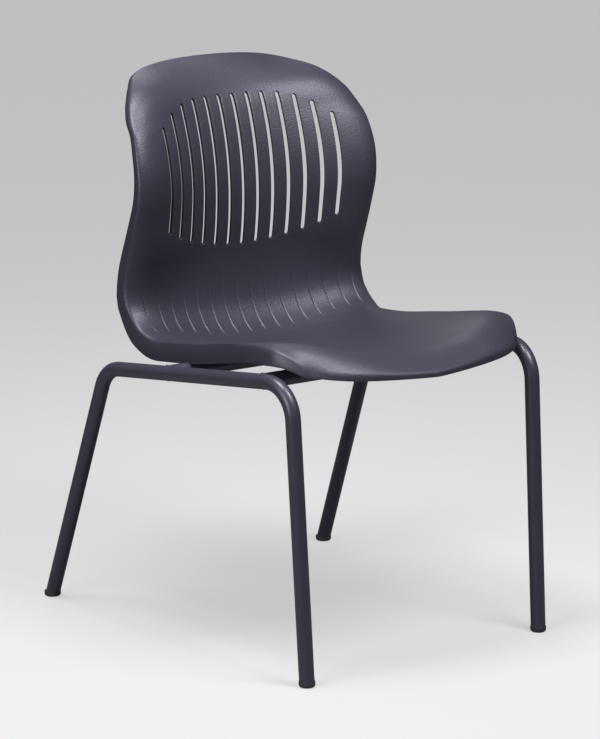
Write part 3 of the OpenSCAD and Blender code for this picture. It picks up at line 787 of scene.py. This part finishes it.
def add_boss(insert):
    start_clean()
    bpy.ops.mesh.primitive_cylinder_add(
        vertices=ROUND_SIDES, radius=BOSS_RADIUS, depth=BOSS_HEIGHT)
    boss = bpy.context.object
    boss.name = insert.replace("insert", "boss")
    select_faces(boss.data, lambda face: face.normal.z > 0.9)
    bpy.ops.transform.resize(value=(BOSS_TAPER, BOSS_TAPER, 1))
    bpy.ops.object.mode_set(mode="OBJECT")
    select_faces(boss.data, lambda face: face.normal.z < -0.9)
    bpy.ops.mesh.bevel(offset=BOSS_ROUNDING, segments=2)
    bpy.ops.object.mode_set(mode="OBJECT")
    lowest = min(face.center.z for face in boss.data.polygons)
    select_faces(boss.data, lambda face: face.normal.z < -0.9 and face.center.z < lowest + 0.1 * MM)
    bpy.ops.mesh.inset(thickness=BOSS_RADIUS - BOSS_ROUNDING - BORE_RADIUS)
    bpy.ops.mesh.extrude_region_move(TRANSFORM_OT_translate={"value": (0, 0, BORE_DEPTH)})
    bpy.ops.object.mode_set(mode="OBJECT")
    axis = square_to_heading(SEAT_SLOPE)
    boss.rotation_euler = (math.radians(SEAT_SLOPE), 0, 0)
    boss.location = middle_of(insert) + axis * (BOSS_HEIGHT - INSERT_LENGTH) / 2
    settle(boss)
    bpy.ops.object.shade_smooth_by_angle(angle=math.radians(35))
    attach(boss, "root")
    return boss


bosses = [add_boss(insert) for insert in inserts]
print("bosses:", [boss.name for boss in bosses])

# %% [markdown]
# Each side of the frame is one steel tube, bent twice: front leg, rail and rear leg.
# It could be a curve with a round section, but bending it as the tube bender does is
# more exact. A circle is laid square to the leg, extruded up to the bend, spun round
# the bend's centre, extruded along the rail, spun again and extruded down.

# %% Shape of a side frame in its own plane
FRONT_HALF, REAR_HALF, FOOT_DEPTH = 215 * MM, 263.6 * MM, 594.6 * MM
CORNER_HEIGHT, FRONT_RAKE, REAR_RAKE, LEAN = 429.8 * MM, 4.1, 21.2, 0.2
BEND_RADIUS, TUBE_WALL, GLIDE_HEIGHT = 50 * MM, 1.6 * MM, 8 * MM
BELOW_FLOOR, BEND_STEPS = 12 * MM, 18
TOE = math.atan((REAR_HALF - FRONT_HALF) / FOOT_DEPTH)
RAIL_FALL = math.tan(math.radians(-SEAT_SLOPE)) * math.cos(TOE)
PLANE_DEPTH = FOOT_DEPTH / math.cos(TOE)
UP_SLOPE, DOWN_SLOPE = 90 - FRONT_RAKE, REAR_RAKE - 90
RAIL_SLOPE = -math.degrees(math.atan(RAIL_FALL))


def frame_corners():
    front_u = CORNER_HEIGHT * math.tan(math.radians(FRONT_RAKE))
    lean_back = math.tan(math.radians(REAR_RAKE))
    rear_u = PLANE_DEPTH - lean_back * (CORNER_HEIGHT + front_u * RAIL_FALL)
    rear_u /= 1 - lean_back * RAIL_FALL
    rear_height = CORNER_HEIGHT - (rear_u - front_u) * RAIL_FALL
    return Vector((0, front_u, CORNER_HEIGHT)), Vector((0, rear_u, rear_height))


front_corner, rear_corner = frame_corners()
front_reach = BEND_RADIUS * math.tan(math.radians(UP_SLOPE - RAIL_SLOPE) / 2)
rear_reach = BEND_RADIUS * math.tan(math.radians(RAIL_SLOPE - DOWN_SLOPE) / 2)
seat_corner_y = -FOOT_DEPTH / 2 + front_corner.y * math.cos(TOE)
FRONT_CROSS = 63 * MM
SHIFT = front_tube.y - seat_corner_y - FRONT_CROSS * math.cos(math.radians(SEAT_SLOPE))
print("frame moved back by", round(SHIFT, 5))

# %% Bend the two side frames


def take_edges():
    bpy.ops.object.mode_set(mode="EDIT")
    bpy.ops.mesh.select_mode(type="EDGE")
    bpy.ops.mesh.select_all(action="SELECT")


def push(vector):
    bpy.ops.mesh.extrude_region_move(TRANSFORM_OT_translate={"value": vector})


def bend(corner, reach, slope_in, slope_out):
    start = corner - heading(slope_in) * reach
    centre = start - square_to_heading(slope_in) * BEND_RADIUS
    angle = math.radians(slope_in - slope_out)
    bpy.ops.mesh.spin(steps=BEND_STEPS, angle=angle, center=centre, axis=(1, 0, 0))


def keep_above_glide():
    """Cut the active tube off level where the glide's collar begins."""
    bpy.ops.object.mode_set(mode="EDIT")
    bpy.ops.mesh.select_all(action="SELECT")
    bpy.ops.mesh.remove_doubles(threshold=MERGE_WITHIN)
    bpy.ops.mesh.bisect(plane_co=(0, 0, GLIDE_HEIGHT), plane_no=(0, 0, 1), clear_inner=True)
    turn_faces_out()


def add_tube_wall(piece):
    wall = piece.modifiers.new("tube wall", "SOLIDIFY")
    wall.thickness = TUBE_WALL
    wall.offset = -1
    apply_all(piece)
    bpy.ops.object.shade_smooth_by_angle(angle=math.radians(40))


def add_side_tube(side, node):
    start_clean()
    up = heading(UP_SLOPE)
    foot = -up * BELOW_FLOOR
    bpy.ops.mesh.primitive_circle_add(
        vertices=ROUND_SIDES, radius=TUBE_RADIUS, location=foot,
        rotation=(-math.radians(FRONT_RAKE), 0, 0))
    tube = bpy.context.object
    tube.name = node.replace("frame", "tube")
    settle(tube)
    take_edges()
    push(front_corner - up * front_reach - foot)
    bend(front_corner, front_reach, UP_SLOPE, RAIL_SLOPE)
    push(rear_corner - front_corner - heading(RAIL_SLOPE) * (front_reach + rear_reach))
    bend(rear_corner, rear_reach, RAIL_SLOPE, DOWN_SLOPE)
    rear_foot = Vector((0, PLANE_DEPTH, 0)) + heading(DOWN_SLOPE) * BELOW_FLOOR
    push(rear_foot - rear_corner - heading(DOWN_SLOPE) * rear_reach)
    bpy.ops.object.mode_set(mode="OBJECT")
    turn = Matrix.Rotation(-side * TOE, 4, "Z") @ Matrix.Rotation(side * math.radians(LEAN), 4, "Y")
    tube.matrix_world = Matrix.Translation((side * FRONT_HALF, SHIFT - FOOT_DEPTH / 2, 0)) @ turn
    settle(tube)
    keep_above_glide()
    add_tube_wall(tube)
    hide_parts(node)
    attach(tube, "root")
    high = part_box(node)[1]
    past = [round(max(v.co[i] for v in tube.data.vertices) - high[i], 5) for i in range(3)]
    print(tube.name, "faces", len(tube.data.polygons), "past the packed part", past)
    return tube


side_tubes = [add_side_tube(-1, "right_side_frame"), add_side_tube(1, "left_side_frame")]

# %% [markdown]
# Two cross tubes join the sides. Their ends are cut to a saddle so that they sit
# snugly against the round rail. The circle is extruded from side to side, and then
# each end point is moved out to where the rail's surface is at its height.

# %% Cross tubes with saddle ends
WELD_GAP = 0.3 * MM


def rail_middle(y, z):
    """Distance of the rail's middle line from the chair's middle."""
    from_foot = y - SHIFT + FOOT_DEPTH / 2
    return FRONT_HALF + from_foot * math.tan(TOE) + z * math.tan(math.radians(LEAN))


def saddle(point, middle):
    """How far out a cross tube reaches at this point of its skin."""
    above = (point - middle).dot(square_to_heading(SEAT_SLOPE))
    cut = (TUBE_RADIUS + WELD_GAP) ** 2 - above ** 2
    return rail_middle(point.y, point.z) - math.sqrt(max(cut, 0)) / math.cos(TOE)


def add_cross_tube(node):
    middle = middle_of(node)
    half = rail_middle(middle.y, middle.z) - TUBE_RADIUS
    start_clean()
    bpy.ops.mesh.primitive_circle_add(
        vertices=ROUND_SIDES, radius=TUBE_RADIUS, location=middle - Vector((half, 0, 0)),
        rotation=(0, math.pi / 2, 0))
    tube = bpy.context.object
    tube.name = node.replace("tube", "pipe")
    settle(tube)
    take_edges()
    push((2 * half, 0, 0))
    bpy.ops.object.mode_set(mode="OBJECT")
    for vertex in tube.data.vertices:
        flat = Vector((middle.x, vertex.co.y, vertex.co.z))
        vertex.co.x = math.copysign(saddle(flat, middle), vertex.co.x)
    turn_faces_out()
    add_tube_wall(tube)
    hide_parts(node)
    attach(tube, "root")
    print(tube.name, "half length", round(half, 4))
    return tube


cross_tubes = [add_cross_tube("front_cross_tube"), add_cross_tube("rear_cross_tube")]

# %% [markdown]
# A weld bead runs round each joint under the paint. It is a torus whose ring follows
# the same saddle, with a slow ripple in its thickness, the overlapping drops that a
# welder leaves.

# %% Weld beads
BEAD_RADIUS, BEAD_DROPS, BEAD_RIPPLE = 1.2 * MM, 22, 0.16


def add_weld(node, side):
    middle = middle_of(node)
    start_clean()
    bpy.ops.mesh.primitive_torus_add(
        major_segments=4 * BEAD_DROPS, minor_segments=8, major_radius=TUBE_RADIUS,
        minor_radius=BEAD_RADIUS, location=middle, rotation=(0, math.pi / 2, 0))
    weld = bpy.context.object
    weld.name = node.replace("cross_tube", "right" if side < 0 else "left") + "_weld"
    settle(weld)
    for vertex in weld.data.vertices:
        away = Vector((0, vertex.co.y - middle.y, vertex.co.z - middle.z))
        ring = middle + away.normalized() * TUBE_RADIUS
        angle = math.atan2(away.z, away.y)
        swell = 1 + BEAD_RIPPLE * math.sin(BEAD_DROPS * angle)
        offset = (vertex.co - ring) * swell
        vertex.co = ring + offset
        vertex.co.x = side * saddle(ring, middle) + offset.x
    turn_faces_out()
    bpy.ops.object.shade_smooth_by_angle(angle=math.radians(60))
    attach(weld, "root")
    return weld


joined = ["front_cross_tube", "rear_cross_tube"]
welds = [add_weld(node, side) for node in joined for side in (-1, 1)]
print("welds:", len(welds))

# %% [markdown]
# Several finishes share the same small effects: a fine grain in the surface, a slow
# drift of tone over the whole piece, and sharp edges that are a little lighter, partly
# from use and partly as a painted highlight.
# Each effect is built once as a node group with its own inputs, and each finish
# places the group with its own values.

# %% Shared effects


def new_group(name, inputs, outputs):
    group = bpy.data.node_groups.new(name, "ShaderNodeTree")
    for label, value in inputs:
        socket = group.interface.new_socket(label, in_out="INPUT", socket_type="NodeSocketFloat")
        socket.default_value = value
    for label in outputs:
        group.interface.new_socket(label, in_out="OUTPUT", socket_type="NodeSocketFloat")
    return group, group.nodes.new("NodeGroupInput"), group.nodes.new("NodeGroupOutput")


def math_node(tree, operation, first, second):
    """A Math node fed by sockets or plain numbers; returns its output."""
    node = tree.nodes.new("ShaderNodeMath")
    node.operation = operation
    for socket, value in zip(node.inputs, (first, second)):
        if isinstance(value, (int, float)):
            socket.default_value = value
        else:
            tree.links.new(value, socket)
    return node.outputs[0]


def spread(tree, value, low, high, new_low=0, new_high=1):
    node = tree.nodes.new("ShaderNodeMapRange")
    numbers = {"From Min": low, "From Max": high, "To Min": new_low, "To Max": new_high}
    for name, number in numbers.items():
        node.inputs[name].default_value = number
    tree.links.new(value, node.inputs["Value"])
    return node.outputs["Result"]


def noise(tree, scale, detail, roughness):
    place = tree.nodes.new("ShaderNodeTexCoord")
    node = tree.nodes.new("ShaderNodeTexNoise")
    tree.links.new(place.outputs["Object"], node.inputs["Vector"])
    if isinstance(scale, (int, float)):
        node.inputs["Scale"].default_value = scale
    else:
        tree.links.new(scale, node.inputs["Scale"])
    node.inputs["Detail"].default_value = detail
    node.inputs["Roughness"].default_value = roughness
    return node.outputs["Fac"]


def make_grain_group():
    group, given, result = new_group("fine grain", [("Scale", 900), ("Cells", 0.5)], ["Height"])
    fine = noise(group, given.outputs["Scale"], 3, 0.6)
    place = group.nodes.new("ShaderNodeTexCoord")
    cells = group.nodes.new("ShaderNodeTexVoronoi")
    cells.feature = "SMOOTH_F1"
    cells.inputs["Smoothness"].default_value = 0.6
    group.links.new(place.outputs["Object"], cells.inputs["Vector"])
    group.links.new(given.outputs["Scale"], cells.inputs["Scale"])
    pebbles = math_node(group, "MULTIPLY", cells.outputs["Distance"], given.outputs["Cells"])
    group.links.new(math_node(group, "ADD", fine, pebbles), result.inputs["Height"])
    return group


def make_tone_group():
    group, given, result = new_group("slow tone", [("Scale", 5), ("Contrast", 1)], ["Tone"])
    drift = noise(group, given.outputs["Scale"], 4, 0.55)
    centred = math_node(group, "SUBTRACT", drift, 0.5)
    wide = math_node(group, "MULTIPLY", centred, given.outputs["Contrast"])
    shifted = math_node(group, "ADD", wide, 0.5)
    group.links.new(spread(group, shifted, 0.2, 0.8), result.inputs["Tone"])
    return group


# Mask of the sharp edges, which get a lighter colour: partly wear, partly a painted highlight along
# the edges.
def make_edge_wear_and_highlight_group():
    group, given, result = new_group(
        "rubbed edges", [("Reach", 0.0015), ("Patchiness", 0.5)], ["Mask"])
    rounded = group.nodes.new("ShaderNodeBevel")
    rounded.samples = 6
    group.links.new(given.outputs["Reach"], rounded.inputs["Radius"])
    plain = group.nodes.new("ShaderNodeNewGeometry")
    facing = group.nodes.new("ShaderNodeVectorMath")
    facing.operation = "DOT_PRODUCT"
    group.links.new(rounded.outputs["Normal"], facing.inputs[0])
    group.links.new(plain.outputs["Normal"], facing.inputs[1])
    turned = math_node(group, "SUBTRACT", 1, facing.outputs["Value"])
    sharp = spread(group, turned, 0.02, 0.25)
    patches = spread(group, noise(group, 60, 3, 0.6), 0.35, 0.65)
    worn = math_node(group, "MULTIPLY", patches, given.outputs["Patchiness"])
    kept = math_node(group, "SUBTRACT", 1, worn)
    group.links.new(math_node(group, "MULTIPLY", sharp, kept), result.inputs["Mask"])
    return group


GRAIN, TONE, EDGES = make_grain_group(), make_tone_group(), make_edge_wear_and_highlight_group()
print("shared effects:", [group.name for group in (GRAIN, TONE, EDGES)])

# %% [markdown]
# A finish is a Principled shader with those effects wired in. Tone mixes two close
# colours and shifts the roughness, the edge mask mixes in a third, lighter colour that
# stands for wear and a painted highlight on the edges, and the grain goes through a
# Bump node. One helper wires all of them, so each finish below is only a list of values.

# %% Helper that builds a finish


def colour(red, green, blue):
    return (red, green, blue, 1)


def place_group(material, group, **values):
    node = material.node_tree.nodes.new("ShaderNodeGroup")
    node.node_tree = group
    for name, value in values.items():
        node.inputs[name].default_value = value
    return node


def mix_colours(tree, mask, first, second):
    node = tree.nodes.new("ShaderNodeMix")
    node.data_type = "RGBA"
    tree.links.new(mask, node.inputs[0])
    for socket, value in ((node.inputs[6], first), (node.inputs[7], second)):
        if isinstance(value, tuple):
            socket.default_value = value
        else:
            tree.links.new(value, socket)
    return node.outputs[2]


def make_finish(name, dark, light, edge, rough, metal, grain_scale, cells, bump, depth,
                tone_scale=5, contrast=1.2, edge_strength=0.4, reach=0.0012, shine=(1, 1, 1)):
    material = bpy.data.materials.new(name)
    material.use_nodes = True
    tree = material.node_tree
    shader = tree.nodes["Principled BSDF"]
    grain = place_group(material, GRAIN, Scale=grain_scale, Cells=cells)
    tone = place_group(material, TONE, Scale=tone_scale, Contrast=contrast)
    edges = place_group(material, EDGES, Reach=reach, Patchiness=0.5)
    # The edge colour is mixed in along sharp edges as wear and as a painted highlight.
    worn_and_highlit = math_node(tree, "MULTIPLY", edges.outputs["Mask"], edge_strength)
    body = mix_colours(tree, tone.outputs["Tone"], dark, light)
    tree.links.new(mix_colours(tree, worn_and_highlit, body, edge), shader.inputs["Base Color"])
    roughness = spread(tree, tone.outputs["Tone"], 0, 1, *rough)
    tree.links.new(roughness, shader.inputs["Roughness"])
    shader.inputs["Metallic"].default_value = metal
    shader.inputs["Specular Tint"].default_value = colour(*shine)
    relief = tree.nodes.new("ShaderNodeBump")
    relief.inputs["Strength"].default_value = bump
    relief.inputs["Distance"].default_value = depth
    tree.links.new(grain.outputs["Height"], relief.inputs["Height"])
    tree.links.new(relief.outputs["Normal"], shader.inputs["Normal"])
    return material


def coat_with(material, *pieces):
    for piece in pieces:
        piece.data.materials.clear()
        piece.data.materials.append(material)


# %% [markdown]
# The moulding is dark slate polypropylene with a violet cast and a fine leather-like
# grain, so its shine is broad and soft. The bosses are the same material.

# %% Slate plastic
slate_plastic = make_finish(
    "slate_plastic", dark=colour(0.022, 0.0205, 0.031), light=colour(0.029, 0.027, 0.041),
    edge=colour(0.1, 0.095, 0.125), rough=(0.4, 0.48), metal=0, grain_scale=380, cells=0.7,
    bump=0.8, depth=0.0003, tone_scale=4, shine=(0.9, 0.87, 1))
coat_with(slate_plastic, shell, *bosses)

# %% [markdown]
# The frame is powder coated in nearly the same colour, but smoother, so each tube
# shows one long soft highlight. Powder coat has a faint orange-peel waviness, which a
# large soft grain gives. Tubes, welds and tabs share it.

# %% Satin frame paint
frame_paint = make_finish(
    "frame_paint", dark=colour(0.028, 0.026, 0.039), light=colour(0.034, 0.032, 0.047),
    edge=colour(0.09, 0.086, 0.11), rough=(0.3, 0.38), metal=0, grain_scale=420, cells=0.2,
    bump=0.18, depth=0.00012, tone_scale=9, edge_strength=0.3, shine=(0.9, 0.87, 1))
tabs = ["front_right_tab", "front_left_tab", "rear_right_tab", "rear_left_tab"]
coat_with(frame_paint, *side_tubes, *cross_tubes, *welds)
coat_with(frame_paint, *[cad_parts[node] for node in tabs])

# %% [markdown]
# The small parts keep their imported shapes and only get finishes: nearly black nylon
# glides, brass inserts and zinc-plated screws.

# %% Glides, inserts and screws
nylon = make_finish(
    "black_nylon", dark=colour(0.018, 0.018, 0.021), light=colour(0.026, 0.026, 0.03),
    edge=colour(0.08, 0.08, 0.085), rough=(0.42, 0.55), metal=0, grain_scale=700, cells=0.3,
    bump=0.25, depth=0.0001, tone_scale=40, edge_strength=0.6)
brass = make_finish(
    "insert_brass", dark=colour(0.52, 0.36, 0.13), light=colour(0.64, 0.46, 0.18),
    edge=colour(0.8, 0.62, 0.3), rough=(0.28, 0.4), metal=1, grain_scale=1500, cells=0.2,
    bump=0.12, depth=0.00005, tone_scale=120)
zinc = make_finish(
    "zinc_steel", dark=colour(0.42, 0.43, 0.45), light=colour(0.55, 0.56, 0.58),
    edge=colour(0.75, 0.76, 0.78), rough=(0.3, 0.45), metal=1, grain_scale=1300, cells=0.4,
    bump=0.15, depth=0.00005, tone_scale=150)
corners = ["front_right", "front_left", "rear_right", "rear_left"]
coat_with(nylon, *[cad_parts[corner + "_glide"] for corner in corners])
coat_with(brass, *[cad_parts[corner + "_insert"] for corner in corners])
coat_with(zinc, *[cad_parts[corner + "_screw"] for corner in corners])

# %% [markdown]
# The chair stands on a plain pale floor that runs out of the picture on all sides. A
# little glow that only the camera sees makes it pale without lighting the chair.

# %% Floor
FLOOR_SIZE = 80
FLOOR_GLOW = 0.5


def add_floor():
    start_clean()
    bpy.ops.mesh.primitive_plane_add(size=FLOOR_SIZE)
    floor = bpy.context.object
    floor.name = "floor"
    material = bpy.data.materials.new("pale_floor")
    material.use_nodes = True
    tree = material.node_tree
    shader = tree.nodes["Principled BSDF"]
    shader.inputs["Base Color"].default_value = colour(0.2, 0.2, 0.205)
    shader.inputs["Roughness"].default_value = 0.8
    shader.inputs["Specular IOR Level"].default_value = 0.1
    shader.inputs["Emission Color"].default_value = colour(1, 1, 1)
    path = tree.nodes.new("ShaderNodeLightPath")
    glow = spread(tree, path.outputs["Is Camera Ray"], 0, 1, 0, FLOOR_GLOW)
    tree.links.new(glow, shader.inputs["Emission Strength"])
    floor.data.materials.append(material)


add_floor()

# %% [markdown]
# The light is a plain soft studio set. A large key lamp hangs high in front of the
# seat, where it draws the bright bands on the seat and the groove. A second one hangs
# above for the rolled rim, a wide one lights the tubes from the left, and a weak one
# behind the chair gives the flat seat its sheen. The world adds an even base level,
# and shows pale where the camera looks straight at it.

# %% Light
WORLD_LEVEL, WORLD_SEEN = 0.1, 0.9
LAMP_AIM = Vector((0, 0, 0.45))


def add_lamp(name, place, size, power):
    data = bpy.data.lights.new(name, "AREA")
    data.shape = "SQUARE"
    data.size = size
    data.energy = power
    lamp = bpy.data.objects.new(name, data)
    bpy.context.scene.collection.objects.link(lamp)
    lamp.location = place
    lamp.rotation_euler = (LAMP_AIM - lamp.location).to_track_quat("-Z", "Y").to_euler()


def light_world():
    world = bpy.data.worlds.new("studio")
    bpy.context.scene.world = world
    world.use_nodes = True
    tree = world.node_tree
    sky = tree.nodes["Background"]
    sky.inputs["Color"].default_value = colour(0.98, 0.98, 1)
    path = tree.nodes.new("ShaderNodeLightPath")
    strength = spread(tree, path.outputs["Is Camera Ray"], 0, 1, WORLD_LEVEL, WORLD_SEEN)
    tree.links.new(strength, sky.inputs["Strength"])


add_lamp("key", Vector((0.25, -1.25, 2.3)), 0.8, 54)
add_lamp("left_side", Vector((-2.2, -0.5, 1.2)), 1.2, 34)
add_lamp("above", Vector((-0.45, -0.1, 2.3)), 0.6, 42)
add_lamp("behind", Vector((0.7, 1.5, 1.9)), 0.8, 6)
light_world()
bpy.context.scene.view_settings.view_transform = "Standard"
